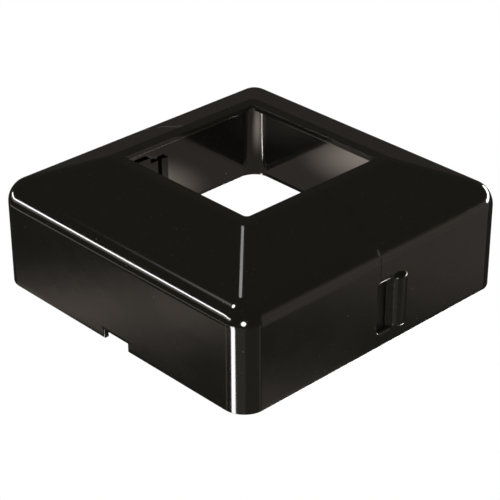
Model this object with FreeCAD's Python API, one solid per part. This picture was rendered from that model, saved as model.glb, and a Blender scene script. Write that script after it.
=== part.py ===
"""Two-piece snap-together cover for the foot of a square post.

Frame: millimetres, +Z up, origin at the middle of the cover's footprint on the ground.
The cover splits on the plane y = 0 into a front half (-Y) and a back half (+Y).
A snap tongue at each side of the front half reaches inside the back half's side wall
and its round bead sits in a half-round channel moulded out of that wall.
"""
import FreeCAD, Part
import math
import os

Vector = FreeCAD.Vector

# overall sizes
width = 133.0                # along X, over the flat side walls
depth = 133.0                # along Y, over the flat front and back walls
height = 52.1                # ground to the flat rim around the post
eave_height = 39.8           # ground to where the wall plane meets the roof plane
edge_radius = 9.3            # outside rounding of the corners, eaves and hips
wall = 2.1                   # thickness of the walls and the roof

# opening for the post
post_opening = 65.0          # clear square that the post passes through
opening_corner_radius = 1.7
rim_width = 4.6              # flat rim from the opening to the start of the roof

# parting between the two halves
seam_gap = 0.15              # clearance between the faces of the two halves

# alignment key in each side slope of the roof
key_inner_offset = 7.3       # start of the roof to the key's near side, along X
key_width = 10.6             # along X
key_reach = 2.4              # how far the key enters the back half
key_corner_radius = 0.8
key_gap = 0.12               # clearance around the key

# drain notch in the bottom edge of the front and back walls
notch_width = 12.7
notch_height = 3.3

# latch window, cut through the side wall on both sides of the seam
window_bottom = 6.0
window_height = 20.45
window_front_reach = 1.3     # into the front half
window_back_reach = 4.6      # into the back half
window_shoulder_radius = 1.2
ramp_length = 2.4            # bevel from the window's end up to the wall's outer face
ramp_lip = 0.5               # wall left at the thin end of the bevel

# half-round channel that takes the tongue's bead
channel_radius = 3.6         # outside
channel_wall = 1.2
channel_proud = 2.15         # how far the channel stands out of the wall
channel_cap = 1.2            # closed top and bottom of the channel

# snap tongue
tongue_thickness = 1.2
tongue_side_clearance = 0.2  # tongue to the back half's inner wall face
bead_clearance = 0.2         # bead to the channel
tongue_end_clearance = 0.3   # tongue's top and bottom edges to the channel's caps
tip_length = 2.2             # flat lead-in past the channel
shutter_lap = 1.0            # how far the tongue's shutter laps the window's edges inside the wall
root_length = 9.0            # pad that carries the tongue on the front half
hinge_clearance = 0.05       # running fit of the tongue's rounded root

half_width = width / 2
half_depth = depth / 2
half_opening = post_opening / 2
rim_half = half_opening + rim_width
large = 4 * max(width, depth, height)


def roof_slope(half_span):
    """Rise over run of the roof between the eave and the flat rim."""
    return (height - eave_height) / (half_span - rim_half)


def gable(half_span, length, inset):
    """Prism along Y whose section is the walls and roof of one direction, moved inwards by inset."""
    slope = roof_slope(half_span)
    roof_angle = math.atan(slope)
    side = half_span - inset
    shoulder = eave_height - inset * math.tan((math.pi / 2 - roof_angle) / 2)
    peak = shoulder + slope * side
    outline = [(-side, -height), (side, -height), (side, shoulder), (0, peak), (-side, shoulder)]
    points = [Vector(x, -length, z) for x, z in outline]
    face = Part.Face(Part.makePolygon(points + points[:1]))
    return face.extrude(Vector(0, 2 * length, 0))


def rounded_hip_solid(inset, top):
    """Hipped block whose faces lie inset inside the outer ones, every edge rounded, cut off at top.

    A sharp core is grown by a rolling ball, so that every rounding is concentric with the outside one.
    """
    across = gable(half_width, half_depth - edge_radius, edge_radius)
    along = gable(half_depth, half_width - edge_radius, edge_radius)
    along.rotate(Vector(0, 0, 0), Vector(0, 0, 1), 90)
    core = across.common(along)
    grown = core.makeOffsetShape(edge_radius - inset, 0.001, join=0)
    keep = Part.makeBox(large, large, top, Vector(-large / 2, -large / 2, 0))
    return Part.Solid(grown.Shells[0]).common(keep)


def rounded_prism(x_size, y_size, z_low, z_high, radius):
    """Upright prism, centred on the origin, with its four vertical edges rounded."""
    block = Part.makeBox(x_size, y_size, z_high - z_low, Vector(-x_size / 2, -y_size / 2, z_low))
    upright = [edge for edge in block.Edges if abs(edge.Vertexes[0].Z - edge.Vertexes[1].Z) > radius]
    return block.makeFillet(radius, upright)


def box_between(x_low, x_high, y_low, y_high, z_low, z_high):
    return Part.makeBox(x_high - x_low, y_high - y_low, z_high - z_low, Vector(x_low, y_low, z_low))


def mirrored(shape):
    """The same feature on the -X side."""
    return shape.mirror(Vector(0, 0, 0), Vector(1, 0, 0))


# latch places, on the +X side; y runs along the wall from the seam
inner_face = half_width - wall
window_top = window_bottom + window_height
ramp_end = window_back_reach + ramp_length
channel_x = half_width + channel_proud - channel_radius
channel_y = ramp_end + math.sqrt(channel_radius**2 - (half_width - channel_x)**2)
groove_radius = channel_radius - channel_wall
bead_radius = groove_radius - bead_clearance
tongue_low = window_bottom + channel_cap + tongue_end_clearance
tongue_high = window_top - channel_cap - tongue_end_clearance
tongue_outer = inner_face - tongue_side_clearance
tongue_inner = tongue_outer - tongue_thickness
hinge_x = (tongue_outer + tongue_inner) / 2
hinge_y = -window_front_reach
tip_y = channel_y + bead_radius + tip_length


def upright_cylinder(radius, x, y, z_low, z_high):
    return Part.makeCylinder(radius, z_high - z_low, Vector(x, y, z_low))


def cover_shell():
    """Hollow cover in one piece: walls, roof, flat rim, post opening and drain notches."""
    outside = rounded_hip_solid(0, height)
    inside = rounded_hip_solid(wall, height - wall)
    opening = rounded_prism(post_opening, post_opening, 0, 2 * height, opening_corner_radius)
    half_notch = notch_width / 2
    notches = box_between(-half_notch, half_notch, -depth, depth, -1, notch_height)
    return outside.cut([inside, opening, notches])


def window_cutter():
    """Prism through the side wall; its front end has rounded shoulders."""
    block = box_between(inner_face - wall, half_width + wall, -window_front_reach, window_back_reach,
                        window_bottom, window_top)
    shoulders = [edge for edge in block.Edges
                 if all(abs(vertex.Y + window_front_reach) < 0.001 for vertex in edge.Vertexes)
                 and abs(edge.Vertexes[0].X - edge.Vertexes[1].X) > wall]
    return block.makeFillet(window_shoulder_radius, shoulders)


def ramp_cutter():
    """Wedge that bevels the outside of the window's back end."""
    lip_x = inner_face + ramp_lip
    outline = [(lip_x, window_back_reach), (half_width, ramp_end), (half_width + wall, ramp_end),
               (half_width + wall, 0), (lip_x, 0)]
    points = [Vector(x, y, window_bottom) for x, y in outline]
    face = Part.Face(Part.makePolygon(points + points[:1]))
    return face.extrude(Vector(0, 0, window_height))


def channel_body():
    """Outside of the half-round channel, from the wall's inner face outwards."""
    round_bar = upright_cylinder(channel_radius, channel_x, channel_y, window_bottom, window_top)
    outside_part = box_between(inner_face, large, 0, large, 0, height)
    return round_bar.common(outside_part)


def channel_groove():
    return upright_cylinder(groove_radius, channel_x, channel_y, window_bottom + channel_cap,
                            window_top - channel_cap)


def key_prism(clearance):
    """Block through the roof across the seam, with the two corners at its far end rounded."""
    x_low = rim_half + key_inner_offset - clearance
    y_high = key_reach + clearance
    block = box_between(x_low, x_low + key_width + 2 * clearance, -seam_gap, y_high,
                        eave_height - edge_radius, height)
    far_corners = [edge for edge in block.Edges
                   if all(abs(vertex.Y - y_high) < 0.001 for vertex in edge.Vertexes)
                   and abs(edge.Vertexes[0].Z - edge.Vertexes[1].Z) > wall]
    return block.makeFillet(key_corner_radius, far_corners)


def root_pad():
    """Pad on the front half's inner wall face, with a hollow end for the tongue's rounded root."""
    pad = box_between(tongue_inner, inner_face, hinge_y - root_length, hinge_y, tongue_low, tongue_high)
    socket = upright_cylinder(tongue_thickness / 2 + hinge_clearance, hinge_x, hinge_y,
                              tongue_low, tongue_high)
    return pad.cut(socket)


def snap_tongue():
    """Flat blade with a rounded root, a shutter behind the window, a hollow bead and a flat lead-in tip."""
    blade = box_between(tongue_inner, tongue_outer, hinge_y, tip_y, tongue_low, tongue_high)
    shutter = box_between(tongue_inner, tongue_outer, hinge_y, window_back_reach + shutter_lap,
                          window_bottom - shutter_lap, window_top + shutter_lap)
    root = upright_cylinder(tongue_thickness / 2, hinge_x, hinge_y, tongue_low, tongue_high)
    bead = upright_cylinder(bead_radius, channel_x, channel_y, tongue_low, tongue_high)
    bead = bead.common(box_between(tongue_inner, large, 0, large, 0, height))
    hollow_radius = bead_radius - tongue_thickness
    hollow = upright_cylinder(hollow_radius, channel_x, channel_y, tongue_low, tongue_high)
    mouth = box_between(tongue_inner - 1, channel_x, channel_y - hollow_radius,
                        channel_y + hollow_radius, tongue_low, tongue_high)
    return blade.fuse([root, shutter, bead]).cut([hollow, mouth]).removeSplitter()


def both_sides(shape):
    return [shape, mirrored(shape)]


def front_half(shell):
    region = box_between(-large, large, -large, -seam_gap / 2, -1, large)
    body = shell.common(region).cut(both_sides(window_cutter()))
    keys = both_sides(key_prism(0).common(shell))
    return body.fuse(keys + both_sides(root_pad())).removeSplitter()


def back_half(shell):
    region = box_between(-large, large, seam_gap / 2, large, -1, large)
    cutters = [window_cutter(), ramp_cutter(), key_prism(key_gap)]
    for cutter in list(cutters):
        cutters.append(mirrored(cutter))
    body = shell.common(region).cut(cutters)
    body = body.fuse(both_sides(channel_body()))
    return body.cut(both_sides(channel_groove())).removeSplitter()


def export(name, shape):
    solids = shape.Solids
    if len(solids) != 1 or not solids[0].isValid():
        raise ValueError(f"{name} is not one valid solid")
    solids[0].exportStep(f"parts/{name}.step")


os.makedirs("parts", exist_ok=True)
shell = cover_shell()
export("back_half", back_half(shell))
export("front_half", front_half(shell))
export("right_snap_tongue", snap_tongue())
export("left_snap_tongue", mirrored(snap_tongue()))
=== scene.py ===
import math

import bpy
import numpy as np
from mathutils import Matrix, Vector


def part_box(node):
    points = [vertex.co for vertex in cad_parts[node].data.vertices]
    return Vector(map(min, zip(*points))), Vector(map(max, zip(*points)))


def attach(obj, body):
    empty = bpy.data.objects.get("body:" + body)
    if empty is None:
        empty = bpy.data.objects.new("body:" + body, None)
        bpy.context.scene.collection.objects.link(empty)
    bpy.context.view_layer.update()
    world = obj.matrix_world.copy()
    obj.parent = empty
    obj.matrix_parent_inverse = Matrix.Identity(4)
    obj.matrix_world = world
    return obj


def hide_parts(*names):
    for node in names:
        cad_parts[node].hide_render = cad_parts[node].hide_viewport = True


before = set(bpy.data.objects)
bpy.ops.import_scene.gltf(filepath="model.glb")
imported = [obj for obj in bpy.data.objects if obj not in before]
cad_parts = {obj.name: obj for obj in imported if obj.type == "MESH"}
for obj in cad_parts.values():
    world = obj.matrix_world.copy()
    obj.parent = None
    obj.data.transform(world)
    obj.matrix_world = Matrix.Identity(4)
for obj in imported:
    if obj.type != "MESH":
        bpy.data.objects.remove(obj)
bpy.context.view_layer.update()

MM = 0.001

# sizes of the cover, in metres, read from the frame
_, front_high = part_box("front_half")
back_low, back_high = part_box("back_half")
tongue_low, tongue_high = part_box("right_snap_tongue")
half_width = front_high.x
height = front_high.z
seam_face = back_low.y                        # half of the gap between the two halves
key_reach = front_high.y
channel_crest = back_high.x

# sizes that the boxes don't give
edge_radius = 9.3 * MM
wall = 2.1 * MM
eave_height = 39.8 * MM
half_opening = 32.5 * MM
rim_half = 37.1 * MM
opening_corner_radius = 1.7 * MM
key_near, key_far = 44.4 * MM, 55.0 * MM      # the alignment key's sides, along X
key_gap = 0.12 * MM
key_ramp = 0.25 * MM                          # length over which the seam steps aside at the key
notch_half = 6.35 * MM
notch_height = 3.3 * MM
window_bottom, window_top = 6.0 * MM, 26.45 * MM
window_front, window_back = 1.3 * MM, 4.6 * MM
window_shoulder = 1.2 * MM                    # radius of the window's front corners
ramp_end = 7.0 * MM
ramp_lip = 0.5 * MM
channel_radius = 3.6 * MM
channel_wall = 1.2 * MM
blade = 1.2 * MM                              # thickness of a snap tongue
root_length = 9.0 * MM
shutter_lap = 1.0 * MM                        # how far a tongue's shutter laps the window's edges
cap_clearance = 0.3 * MM
bead_clearance = 0.2 * MM                     # bead to the channel it sits in
root_clearance = 0.05 * MM                    # rounded root to the hollow it turns in
wall_overlap = 0.3 * MM                       # how far a joined piece is sunk into the wall
caps = channel_wall + cap_clearance           # window's top or bottom edge to the tongue's
tongue_bottom, tongue_top = window_bottom + caps, window_top - caps

# softness of moulded edges, and how closely curves are divided
edge_softness = 0.3 * MM
seam_softness = 0.07 * MM
opening_softness = 0.15 * MM
mouth_softness = 0.5 * MM                     # where a window or notch leaves the wall's faces
channel_softness = 0.7 * MM                   # channel's top and bottom rims
tongue_softness = 0.12 * MM
pad_softness = 0.1 * MM
support = 0.4 * MM                            # flat strip kept beside each rounding
corner_steps = 24
eave_steps = 18
soft_steps = 4

inner_face = half_width - wall
core = half_width - edge_radius               # centre of the corner rounding
slope = (height - eave_height) / (half_width - rim_half)
pitch = math.atan(slope)
eave_centre = eave_height - edge_radius * math.tan((math.pi / 2 - pitch) / 2)
channel_x = channel_crest - channel_radius
channel_y = ramp_end + math.sqrt(channel_radius**2 - (half_width - channel_x)**2)
groove_radius = channel_radius - channel_wall


# ---------------------------------------------------------------- shapes

def mesh_piece(name, vertices, faces):
    """A mesh object at the origin from an array of vertices and a list of faces."""
    mesh = bpy.data.meshes.new(name)
    mesh.from_pydata(vertices.tolist(), [], faces)
    mesh.update()
    piece = bpy.data.objects.new(name, mesh)
    bpy.context.scene.collection.objects.link(piece)
    return piece


def grid_faces(rows, columns, wrap_rows):
    """Quads of a rows by columns grid whose rows may close into a ring."""
    row_count = rows if wrap_rows else rows - 1
    r, c = np.meshgrid(np.arange(row_count), np.arange(columns - 1), indexing="ij")
    here, after = r * columns + c, (r + 1) % rows * columns + c
    quads = np.stack([here, here + 1, after + 1, after], -1)
    return quads.reshape(-1, 4).tolist()


def turned(start, end, share):
    """Unit vectors on the shorter arc from start to end, at each share of its angle."""
    cosine = np.clip((start * end).sum(-1, keepdims=True), -1, 1)
    angle = np.arccos(cosine)
    return (start * np.sin((1 - share) * angle) + end * np.sin(share * angle)) / np.sin(angle)


def corner_directions():
    """Outward directions round the +X -Y corner, from facing +X to facing -Y.

    The level ones turn evenly through a quarter circle. The others take the shorter arc between the
    two roofs' outward directions, over the hip.
    """
    share = np.linspace(1, 0, corner_steps + 1)[:, None]
    quarter = share * math.pi / 2
    level = np.hstack([np.sin(quarter), -np.cos(quarter), np.zeros_like(quarter)])
    front_roof = np.array([[0, -math.sin(pitch), math.cos(pitch)]])
    side_roof = np.array([[math.sin(pitch), 0, math.cos(pitch)]])
    return level, turned(front_roof, side_roof, share)


LEVEL, HIP = corner_directions()
# where flat walls are divided, as shares of their height and of their length
WALL_LEVELS = np.array([0.07, 0.14, 0.27, 0.41, 0.55, 0.68, 0.86, 0.93])
FLAT_SHARES = np.array([0.045, 0.105, 0.155, 0.225, 0.31, 0.41, 0.52, 0.63, 0.74, 0.85, 0.94])


def wall_row(inset, z):
    """Corner of the upright wall: quarter circle round the core's corner, at one height."""
    return np.array([core, -core, z]) + LEVEL * (edge_radius - inset)


def eave_row(radius, share):
    """Corner of the eave: on a ball of that radius, share of the way from the wall up to the roof."""
    ball = turned(LEVEL, HIP, share)
    return np.array([core, -core, eave_centre]) + ball * radius


def roof_row(radius, x):
    """Corner of the roof: the hip's rounding, where the side roof is at that x."""
    rise = core + radius * math.sin(pitch) - x
    return np.array([core - rise, -(core - rise), eave_centre + slope * rise]) + HIP * radius


def roof_row_at(radius, z):
    """Corner of the roof cut by the level plane at height z, one point on each straight line of the hip."""
    rise = (z - eave_centre - HIP[:, 2:] * radius) / slope
    run = np.hstack([-rise, rise, slope * rise])
    return np.array([core, -core, eave_centre]) + run + HIP * radius


def opening_row(outset, z):
    """Corner of the post opening: quarter circle, outset from the clear opening."""
    centre = half_opening - opening_corner_radius
    return np.array([centre, -centre, z]) + LEVEL * (opening_corner_radius + outset)


def key_stations():
    """x of the roof rows beside the alignment key's two sides."""
    steps = np.array([-2.5, -1, -0.5, 0, 0.5, 1, 2.5]) * key_ramp
    return np.concatenate([key_far - steps, key_near - steps])


def side_rows(outside):
    """Corner rows of one face of the shell, outside or inside, from the bottom edge to the opening's edge."""
    inset = 0 if outside else wall
    radius = edge_radius - inset
    into = 1 if outside else -1
    top = height - inset
    rows = []
    for angle in np.linspace(0, math.pi / 2, soft_steps + 1):
        depth_in = inset + into * edge_softness * (1 - math.sin(angle))
        rows.append(wall_row(depth_in, edge_softness * (1 - math.cos(angle))))
    rows += [wall_row(inset, level * eave_centre) for level in WALL_LEVELS]
    rows.append(wall_row(inset, eave_centre - support))
    rows += [eave_row(radius, share) for share in np.linspace(0, 1, eave_steps + 1)]
    eave_x = core + radius * math.sin(pitch)
    rows += [roof_row(radius, x) for x in [eave_x - support, *key_stations()]]
    crease = roof_row_at(radius, top)
    flat = opening_row(opening_softness, top)
    inwards = flat - crease
    inwards /= np.linalg.norm(inwards, axis=1, keepdims=True)
    rows.append(roof_row_at(radius, top - 2 * support * slope))
    rows.append(roof_row_at(radius, top - support * slope))
    rows.append(crease + inwards * support / 2 - np.array([0, 0, 0.04 * support]))
    rows.append(crease + inwards * 1.2 * support)
    rows.append(crease + inwards * 2.2 * support)
    for angle in np.linspace(0, math.pi / 2, soft_steps + 1):
        rows.append(opening_row(opening_softness * (1 - math.sin(angle)),
                                top - into * opening_softness * (1 - math.cos(angle))))
    return np.array(rows)


def seam_shift(x, clearance):
    """How far the seam runs towards +Y at x: the key's reach between its sides, else nothing."""
    near = np.clip((x - key_near + clearance) / key_ramp + 0.5, 0, 1)
    far = np.clip((key_far + clearance - x) / key_ramp + 0.5, 0, 1)
    return (key_reach - seam_face) * np.minimum(near, far)


def section_normals(outer, inner):
    """Outward directions of the closed section made of the outer and inner row points, in the XZ plane."""
    loop = np.vstack([outer, inner[::-1]])[:, [0, 2]]
    along = np.roll(loop, -1, 0) - np.roll(loop, 1, 0)
    normal = np.stack([along[:, 1], -along[:, 0]], 1)
    normal /= np.linalg.norm(normal, axis=1, keepdims=True)
    count = len(outer)
    full = np.insert(normal, 1, 0, axis=1)
    return full[:count], full[count:][::-1]


def half_shell(name, facing, clearance):
    """One half of the cover as a closed skin.

    Rows run up the outside and back down the inside. Columns run from the seam on +X, round two
    corners, to the seam on -X. At each seam the section closes in by a quarter circle, so that the
    edge is soft. facing is -1 for the front half and 1 for the back half.
    """
    outer, inner = side_rows(True), side_rows(False)
    out_normal, in_normal = section_normals(outer[:, 0], inner[:, 0])
    sides = []
    for rows, normal in ((outer, out_normal), (inner, in_normal)):
        corner = rows * np.array([1, -facing, 1])
        start = corner[:, 0]
        line = []
        for angle in np.linspace(math.pi / 2, 0, soft_steps + 1):
            point = start - normal * seam_softness * (1 - math.cos(angle))
            point[:, 1] = facing * (seam_face + seam_softness * (1 - math.sin(angle)))
            point[:, 1] += seam_shift(start[:, 0], clearance)
            line.append(point)
        beside = start - np.array([0, facing * support, 0])
        past = corner[:, -1] - np.array([support, 0, 0])
        flank = line[-1][:, None] + (beside - line[-1])[:, None] * FLAT_SHARES[:, None]
        level = np.ones_like(FLAT_SHARES)
        front = past[:, None] * np.stack([1 - FLAT_SHARES, level, level], 1)
        half = np.concatenate([np.stack(line, 1), flank, beside[:, None], corner, past[:, None], front], 1)
        other = half[:, ::-1] * np.array([-1, 1, 1])
        sides.append(np.concatenate([half, other], 1))
    rows = np.concatenate([sides[0], sides[1][::-1]], 0)
    count, columns = rows.shape[:2]
    faces = grid_faces(count, columns, True)
    if facing < 0:
        faces = [face[::-1] for face in faces]
    for i in range(count // 2 - 1):
        j = count - 1 - i
        cap = [i * columns, (i + 1) * columns, (j - 1) * columns, j * columns]
        faces.append(cap if facing < 0 else cap[::-1])
        end = [index + columns - 1 for index in cap]
        faces.append(end[::-1] if facing < 0 else end)
    return mesh_piece(name, rows.reshape(-1, 3), faces)


def outline_normals(outline):
    """Outward directions at each point of a closed plan outline that runs anticlockwise."""
    before = outline - np.roll(outline, 1, 0)
    after = np.roll(outline, -1, 0) - outline
    before /= np.linalg.norm(before, axis=1, keepdims=True)
    after /= np.linalg.norm(after, axis=1, keepdims=True)
    first = np.stack([before[:, 1], -before[:, 0]], 1)
    second = np.stack([after[:, 1], -after[:, 0]], 1)
    both = first + second
    return both / (1 + (first * second).sum(1, keepdims=True))


def prism(name, outline, stations, axes="xyz"):
    """Closed block: a plan outline carried through stations of (outset, place), capped at both ends."""
    outline = np.asarray(outline, float)
    normal = outline_normals(outline)
    rings = [np.column_stack([outline + normal * outset, np.full(len(outline), place)])
             for outset, place in stations]
    points = np.array(rings)
    count = len(outline)
    order = [axes.index(axis) for axis in "xyz"]
    vertices = points.reshape(-1, 3)[:, order]
    i = np.arange(count)
    faces = []
    for ring in range(len(stations) - 1):
        here, beside = ring * count + i, ring * count + (i + 1) % count
        faces += np.stack([here, beside, beside + count, here + count], 1).tolist()
    faces.append(list(range(count))[::-1])
    faces.append(list(range((len(stations) - 1) * count, len(stations) * count)))
    if axes in ("yxz", "zyx", "xzy"):
        faces = [face[::-1] for face in faces]
    return mesh_piece(name, vertices, faces)


def soft_stations(low, high, softness):
    """Stations of a block with rounded ends: a quarter circle at each end."""
    angles = np.linspace(0, math.pi / 2, soft_steps + 1)
    start = [(-softness * (1 - math.sin(a)), low + softness * (1 - math.cos(a))) for a in angles]
    finish = [(outset, high + low - place) for outset, place in reversed(start)]
    return start + finish


def mouth_stations(inside, outside):
    """Stations of a cutter through a wall: it flares by a quarter circle where it leaves each face."""
    angles = np.linspace(0, math.pi / 2, soft_steps + 1)
    flare = [(mouth_softness * (1 - math.cos(a)), mouth_softness * (1 - math.sin(a))) for a in angles]
    into = [(outset, inside + deep) for outset, deep in reversed(flare)]
    out = [(outset, outside - deep) for outset, deep in flare]
    return [(mouth_softness, inside - wall)] + into + out + [(mouth_softness, outside + wall)]


def arc(x, y, radius, start, end, steps):
    """Points on a circle from the start to the end angle, in degrees."""
    angles = np.radians(np.linspace(start, end, steps + 1))
    return np.column_stack([x + radius * np.cos(angles), y + radius * np.sin(angles)])


def mirror_piece(piece, name):
    """The same closed mesh on the -X side, facing outwards."""
    points = np.empty(len(piece.data.vertices) * 3)
    piece.data.vertices.foreach_get("co", points)
    faces = [list(polygon.vertices)[::-1] for polygon in piece.data.polygons]
    return mesh_piece(name, points.reshape(-1, 3) * np.array([-1, 1, 1]), faces)


def combine(piece, tool, operation):
    """Adds the tool's shape to the piece or cuts it away, keeps the result as its mesh, and drops the tool."""
    modifier = piece.modifiers.new(operation, "BOOLEAN")
    modifier.operation = operation
    modifier.solver = "EXACT"
    modifier.object = tool
    bpy.context.view_layer.update()
    shaped = bpy.data.meshes.new_from_object(piece.evaluated_get(bpy.context.evaluated_depsgraph_get()))
    piece.modifiers.clear()
    piece.data = shaped
    bpy.data.objects.remove(tool)


def combine_both_sides(piece, tool, operation):
    """Combines the tool's mirror image on -X with the piece, then the tool itself on +X."""
    combine(piece, mirror_piece(tool, "mirrored"), operation)
    combine(piece, tool, operation)


def window_tool():
    """Cutter of the latch window, in the plane of the side wall: y and z outline, with rounded shoulders."""
    shoulder = window_shoulder
    front, back = -window_front, window_back
    outline = np.vstack([
        arc(front + shoulder, window_bottom + shoulder, shoulder, 180, 270, 6),
        [[back, window_bottom], [back, window_top]],
        arc(front + shoulder, window_top - shoulder, shoulder, 90, 180, 6),
    ])
    return prism("window_tool", outline, mouth_stations(inner_face, half_width), "yzx")


def ramp_tool():
    """Cutter that bevels the outside of the window's back end, up to the channel."""
    lip = inner_face + ramp_lip
    outline = [(lip, 0), (half_width + wall, 0), (half_width + wall, ramp_end), (half_width, ramp_end),
               (lip, window_back)]
    clear = 0.03 * MM
    return prism("ramp_tool", outline, [(0, window_bottom + clear), (0, window_top - clear)])


def channel_tool():
    """The half-round channel's outside: a rounded bar sunk into the wall, with soft ends."""
    reach = math.degrees(math.acos((inner_face + wall_overlap - channel_x) / channel_radius))
    outline = arc(channel_x, channel_y, channel_radius, -reach, reach, 28)
    return prism("channel_tool", outline, soft_stations(window_bottom, window_top, channel_softness))


def groove_tool():
    """Cutter of the half-round channel's inside: a full round bar that stops short of its two end walls."""
    outline = arc(channel_x, channel_y, groove_radius, 0, 352.5, 47)
    return prism("groove_tool", outline, [(0, window_bottom + channel_wall), (0, window_top - channel_wall)])


def notch_tool():
    """Cutter of the drain notch in the front wall's bottom edge."""
    outline = [(-notch_half, -wall), (notch_half, -wall),
               (notch_half, notch_height), (-notch_half, notch_height)]
    return prism("notch_tool", outline, mouth_stations(-half_width, -inner_face), "xzy")


def pad_tool():
    """Pad that carries a tongue, with the hollow for its rounded root."""
    low_x, high_x = tongue_low.x, inner_face + wall_overlap
    hinge_x = low_x + blade / 2
    hollow = arc(hinge_x, -window_front, blade / 2 + root_clearance, 0, -180, 12)
    hollow = hollow[np.abs(hollow[:, 0] - hinge_x) < blade / 2]
    outline = np.vstack([
        [[low_x, -window_front - root_length], [high_x, -window_front - root_length],
         [high_x, -window_front], [hinge_x + blade / 2 + root_clearance, -window_front]],
        hollow,
        [[low_x, hollow[-1, 1]]],
    ])
    return prism("pad_tool", outline, soft_stations(tongue_bottom, tongue_top, pad_softness))


def tongue_piece(name):
    """Snap tongue: flat blade with a rounded root, a shutter, a round hollow bead and a flat tip."""
    bead = groove_radius - bead_clearance
    hollow = bead - blade
    low_x, high_x = tongue_low.x, tongue_low.x + blade
    hinge_x = low_x + blade / 2
    lean = math.degrees(math.asin((channel_x - high_x) / bead))
    tip_y = tongue_high.y
    tip = 0.3 * MM
    outline = np.vstack([
        arc(hinge_x, -window_front, blade / 2, 180, 360, 12),
        arc(channel_x, channel_y, bead, -90 - lean, 90 + lean, 40),
        arc(high_x - tip, tip_y - tip, tip, 0, 90, 4),
        arc(low_x + tip, tip_y - tip, tip, 90, 180, 4),
        [[low_x, channel_y + hollow]],
        arc(channel_x, channel_y, hollow, 90, -90, 20),
        [[low_x, channel_y - hollow]],
    ])
    piece = prism(name, outline, soft_stations(tongue_bottom, tongue_top, tongue_softness))
    back = window_back + shutter_lap
    round_end = 0.8 * MM
    plate = np.vstack([
        [[-window_front, tongue_low.z], [-window_front, tongue_high.z]],
        arc(back - round_end, tongue_high.z - round_end, round_end, 90, 0, 5),
        arc(back - round_end, tongue_low.z + round_end, round_end, 0, -90, 5),
    ])[::-1]
    shutter = prism("shutter_tool", plate, soft_stations(low_x, high_x, tongue_softness), "yzx")
    combine(piece, shutter, "UNION")
    return piece


def smooth_curves(piece):
    """Shades bends under 25 degrees smooth and keeps flat faces flat beside roundings."""
    piece.data.shade_smooth()
    piece.data.set_sharp_from_angle(angle=math.radians(25))
    modifier = piece.modifiers.new("flat_faces_lead", "WEIGHTED_NORMAL")
    modifier.weight = 100
    modifier.keep_sharp = True


# ---------------------------------------------------------------- materials

class Wire:
    """A value in a shader. Arithmetic on it adds Math nodes."""

    def __init__(self, sheet, socket):
        self.sheet = sheet
        self.socket = socket

    def _math(self, operation, *values):
        return self.sheet.node("ShaderNodeMath", {"operation": operation}, dict(enumerate(values)))

    def __add__(self, other):
        return self._math("ADD", self, other)

    def __sub__(self, other):
        return self._math("SUBTRACT", self, other)

    def __rsub__(self, other):
        return self._math("SUBTRACT", other, self)

    def __mul__(self, other):
        return self._math("MULTIPLY", self, other)

    def clamped(self):
        return self.sheet.node("ShaderNodeClamp", {}, {"Value": self})

    __radd__ = __add__
    __rmul__ = __mul__


class Sheet:
    """One material's or world's node tree."""

    def __init__(self, tree):
        self.tree = tree
        tree.nodes.clear()

    def node(self, kind, settings, values, output=0):
        """Adds a node, sets its settings, then sets or links its sockets, and returns one output as a Wire."""
        made = self.tree.nodes.new(kind)
        for key, value in settings.items():
            setattr(made, key, value)
        for key, value in values.items():
            if isinstance(value, Wire):
                self.tree.links.new(value.socket, made.inputs[key])
            else:
                made.inputs[key].default_value = value
        return Wire(self, made.outputs[output]) if made.outputs else None

    def ramp(self, value, low, high):
        """0 below low, 1 above high, smooth between."""
        return self.node("ShaderNodeMapRange", {"interpolation_type": "SMOOTHSTEP"},
                         {"Value": value, "From Min": low, "From Max": high})

    def noise(self, place, scale, detail, roughness=0.5):
        """Cloudy noise over a place, with that many lumps to the metre."""
        return self.node("ShaderNodeTexNoise", {}, {"Vector": place, "Scale": scale, "Detail": detail,
                                                    "Roughness": roughness})


def blank_material(name):
    """A new material and its empty node sheet."""
    material = bpy.data.materials.new(name)
    material.use_nodes = True
    return material, Sheet(material.node_tree)


def black_plastic(name, satin, shine):
    """Injection-moulded black plastic: faint ripple, hairline scuffs and dust.

    satin is added to the roughness: 0 leaves the clear gloss of the cover's halves. shine is how much of the
    light the surface mirrors: 0.5 is that of clear gloss.
    """
    material, sheet = blank_material(name)
    place = sheet.node("ShaderNodeTexCoord", {}, {}, "Object")
    ripple = sheet.noise(place, 90.0, 2.0)
    grain = sheet.noise(place, 2600.0, 3.0, 0.6)
    across = sheet.node("ShaderNodeMapping", {}, {"Vector": place, "Rotation": (0.5, 0.35, 0.8),
                                                  "Scale": (1.0, 26.0, 26.0)})
    scuffs = sheet.ramp(sheet.noise(across, 120.0, 4.0, 0.7), 0.66, 0.74)
    patches = sheet.ramp(sheet.noise(place, 38.0, 2.0), 0.42, 0.7)
    hairlines = scuffs * patches
    specks = sheet.ramp(sheet.noise(place, 1500.0, 1.0), 0.74, 0.8)
    colour = sheet.node("ShaderNodeMix", {"data_type": "RGBA"},
                        {"Factor": (specks * 0.35 + hairlines * 0.12).clamped(),
                         6: (0.0062, 0.0062, 0.0048, 1), 7: (0.05, 0.048, 0.044, 1)}, 2)
    roughness = 0.07 + patches * 0.03 + grain * 0.02 + hairlines * 0.12 + specks * 0.3
    roughness = roughness + satin
    relief = ripple + grain * 0.02 - hairlines * 0.05
    bump = sheet.node("ShaderNodeBump", {}, {"Height": relief, "Strength": 0.1, "Distance": 0.0002})
    shader = sheet.node("ShaderNodeBsdfPrincipled", {},
                        {"Base Color": colour, "Roughness": roughness, "Normal": bump, "IOR": 1.5,
                         "Specular IOR Level": shine})
    sheet.node("ShaderNodeOutputMaterial", {}, {"Surface": shader})
    return material


# ---------------------------------------------------------------- the cover

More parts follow.
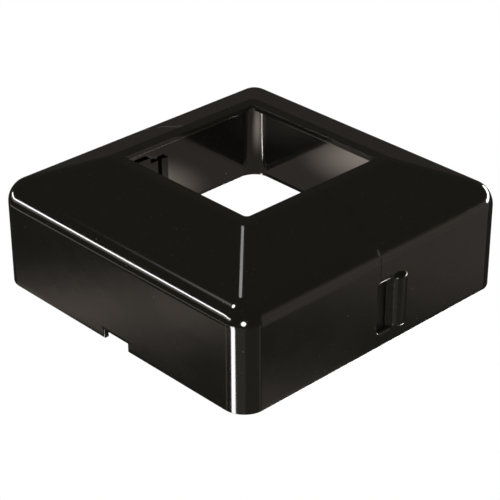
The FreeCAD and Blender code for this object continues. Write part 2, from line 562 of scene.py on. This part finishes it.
def build_back_half():
    """Half shell with a window, bevel and channel in each side wall and a drain notch in its +Y wall."""
    piece = half_shell("back_half_shell", 1, key_gap)
    combine_both_sides(piece, window_tool(), "DIFFERENCE")
    combine_both_sides(piece, ramp_tool(), "DIFFERENCE")
    combine_both_sides(piece, channel_tool(), "UNION")
    combine_both_sides(piece, groove_tool(), "DIFFERENCE")
    notch = notch_tool()
    notch.data.transform(Matrix.Rotation(math.pi, 4, "Z"))
    combine(piece, notch, "DIFFERENCE")
    return piece


def build_front_half():
    """Half shell with a window edge and a tongue's pad on each side wall and a drain notch in its -Y wall."""
    piece = half_shell("front_half_shell", -1, 0)
    combine_both_sides(piece, window_tool(), "DIFFERENCE")
    combine_both_sides(piece, pad_tool(), "UNION")
    combine(piece, notch_tool(), "DIFFERENCE")
    return piece


def dress(piece, body, node, material):
    """Gives the piece its finish, puts it on the body it rides on and hides the CAD node it stands in for."""
    smooth_curves(piece)
    piece.data.materials.clear()
    piece.data.materials.append(material)
    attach(piece, body)
    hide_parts(node)


gloss = black_plastic("gloss_black_plastic", 0, 0.5)
satin = black_plastic("satin_black_plastic", 0.3, 0.12)
right_tongue = tongue_piece("right_tongue_blade")
left_tongue = mirror_piece(right_tongue, "left_tongue_blade")
dress(build_back_half(), "back_half", "back_half", gloss)
dress(build_front_half(), "front_half", "front_half", gloss)
dress(right_tongue, "right_snap_tongue", "right_snap_tongue", satin)
dress(left_tongue, "left_snap_tongue", "left_snap_tongue", satin)


# ---------------------------------------------------------------- floor, light and camera

def pale_floor():
    """Plain white floor just under the cover, lit evenly from inside like a light table, and clear from below."""
    drop = -0.1 * MM
    corners = np.array([[-3, -3, drop], [3, -3, drop], [3, 3, drop], [-3, 3, drop]], float)
    floor = mesh_piece("floor", corners, [[0, 1, 2, 3]])
    material, sheet = blank_material("pale_floor")
    underneath = sheet.node("ShaderNodeNewGeometry", {}, {}, "Backfacing")
    glow = sheet.node("ShaderNodeEmission", {}, {"Color": (1, 1, 1, 1), "Strength": 1.0})
    clear = sheet.node("ShaderNodeBsdfTransparent", {}, {})
    shader = sheet.node("ShaderNodeMixShader", {}, {0: underneath, 1: glow, 2: clear})
    sheet.node("ShaderNodeOutputMaterial", {}, {"Surface": shader})
    floor.data.materials.append(material)
    floor.visible_glossy = False


def glow_card():
    """Soft pool of light on the floor inside the cover, for the far inner walls. Only gloss sees it.

    It is brightest at its middle and falls off smoothly with distance.
    """
    corners = np.array([[-62, -62, -0.3], [62, -62, -0.3], [62, 62, -0.3], [-62, 62, -0.3]]) * MM
    card = mesh_piece("glow_card", corners, [[0, 1, 2, 3]])
    material, sheet = blank_material("glow_card")
    place = sheet.node("ShaderNodeTexCoord", {}, {}, "Object")
    middle, reach = (-0.04, 0.018, 0), 0.034
    away = sheet.node("ShaderNodeVectorMath", {"operation": "DISTANCE"}, {0: place, 1: middle}, "Value")
    strength = (1 - sheet.ramp(away, 0.0, reach)) * 3.6 + 0.35
    glow = sheet.node("ShaderNodeVectorMath", {"operation": "SCALE"},
                      {0: (1, 0.86, 0.76), "Scale": strength})
    shader = sheet.node("ShaderNodeEmission", {}, {"Color": glow, "Strength": 1.0})
    sheet.node("ShaderNodeOutputMaterial", {}, {"Surface": shader})
    card.data.materials.append(material)
    card.visible_camera = False
    card.visible_diffuse = False
    card.visible_shadow = False


def studio_camera():
    """Camera looking down on the -Y +X corner."""
    azimuth, elevation, distance = math.radians(46.416), math.radians(28.986), 0.6743
    roll = -0.0036
    target = np.array([0, 0, 0.15 * 2 * half_width])
    back = np.array([math.sin(azimuth) * math.cos(elevation), -math.cos(azimuth) * math.cos(elevation),
                     math.sin(elevation)])
    right = np.array([math.cos(azimuth), math.sin(azimuth), 0])
    up = np.cross(back, right)
    level_right = right
    right = math.cos(roll) * right + math.sin(roll) * up
    up = math.cos(roll) * up - math.sin(roll) * level_right
    data = bpy.data.cameras.new("studio_camera")
    data.sensor_width = 36
    data.lens = 129.1
    data.shift_y = -0.032
    camera = bpy.data.objects.new("studio_camera", data)
    bpy.context.scene.collection.objects.link(camera)
    place = target + back * distance
    turn = np.vstack([np.column_stack([right, up, back, place]), [0, 0, 0, 1]])
    camera.matrix_world = Matrix(turn.tolist())
    bpy.context.scene.camera = camera


def studio_world():
    """Even white light all round, and for gloss alone a dark room with lamps and pale screens.

    The room's light at a direction is the sum of its patches. A patch is the product of smooth steps up
    and down in azimuth and elevation, and a round lamp is a smooth step in the angle from its aim.
    """
    world = bpy.data.worlds.new("studio_world")
    world.use_nodes = True
    bpy.context.scene.world = world
    sheet = Sheet(world.node_tree)
    direction = sheet.node("ShaderNodeTexCoord", {}, {}, "Generated")
    x, y, z = (sheet.node("ShaderNodeSeparateXYZ", {}, {"Vector": direction}, axis) for axis in "XYZ")
    degree = 180 / math.pi
    azimuth = sheet.node("ShaderNodeMath", {"operation": "ARCTAN2"}, {0: x, 1: y * -1.0}) * degree
    elevation = sheet.node("ShaderNodeMath", {"operation": "ARCSINE"}, {0: z}) * degree

    def screen(strength, sides, levels, softness):
        """Lit patch of the room between two azimuths and two elevations, in degrees, with soft borders."""
        value = strength
        for angle, (low, high) in ((azimuth, sides), (elevation, levels)):
            value = sheet.ramp(angle, low - softness, low + softness) * value
            value = (1 - sheet.ramp(angle, high - softness, high + softness)) * value
        return value

    def lamp(strength, side, level, radius):
        """Round lamp at an azimuth and elevation, in degrees."""
        a, e = math.radians(side), math.radians(level)
        aim = (math.sin(a) * math.cos(e), -math.cos(a) * math.cos(e), math.sin(e))
        facing = sheet.node("ShaderNodeVectorMath", {"operation": "DOT_PRODUCT"},
                            {0: direction, 1: aim}, "Value")
        edge = math.cos(math.radians(radius))
        return sheet.ramp(facing, edge - 0.15 * (1 - edge), edge + 0.15 * (1 - edge)) * strength

    even_light, room = 1.25, 0.035
    for patch in SCREENS:
        room = screen(*patch) + room
    for bulb in LAMPS:
        room = lamp(*bulb) + room
    glossy = sheet.node("ShaderNodeLightPath", {}, {}, "Is Glossy Ray")
    warmth = sheet.node("ShaderNodeMix", {"data_type": "RGBA"},
                        {"Factor": sheet.ramp(room, 0.5, 3.0), 6: (1, 0.84, 0.74, 1), 7: (1, 1, 1, 1)}, 2)
    colour = sheet.node("ShaderNodeMix", {"data_type": "RGBA"},
                        {"Factor": glossy, 6: (1, 1, 1, 1), 7: warmth}, 2)
    strength = glossy * (room - even_light) + even_light
    shader = sheet.node("ShaderNodeBackground", {}, {"Color": colour, "Strength": strength})
    sheet.node("ShaderNodeOutputWorld", {}, {"Surface": shader})


# strength, then azimuths from -Y towards +X, elevations, and softness of the borders, in degrees
SCREENS = [
    (25.0, (-75, -12), (1.5, 5.5), 0.8),
    (1.5, (-75, -12), (-5, 0), 1.0),
    (1.4, (-75, -12), (-25, -23), 0.7),
    (2.2, (-57, -48), (37, 43), 3.5),
    (22.0, (-10, 7), (-60, -22), 2.0),
    (0.6, (-38, -34), (-60, -22), 1.2),
    (0.35, (9, 50), (-60, -22), 5.0),
    (0.12, (50, 110), (-60, -22), 5.0),
    (0.5, (112, 117), (-60, -22), 1.2),
    (0.45, (120, 150), (-16, 6), 10.0),
    (45.0, (140, 190), (0, 8), 1.0),
    (45.0, (-190, -164), (0, 8), 1.0),
    (28.0, (150, 190), (-64, -43), 3.0),
    (0.75, (-70, -15), (-32.0, -30.6), 1.1),
    (0.28, (122, 150), (-31.0, -16), 1.5),
    (0.45, (122, 150), (-38, -34), 1.2),
]
# strength, azimuth, elevation and radius
LAMPS = [
    (30.0, -35.6, 48.4, 6.5),
    (30.0, 43.6, -3.0, 9.5),
    (5.0, -109.5, 60.5, 4.5),
]


pale_floor()
glow_card()
studio_world()
studio_camera()
bpy.context.scene.view_settings.view_transform = "Standard"
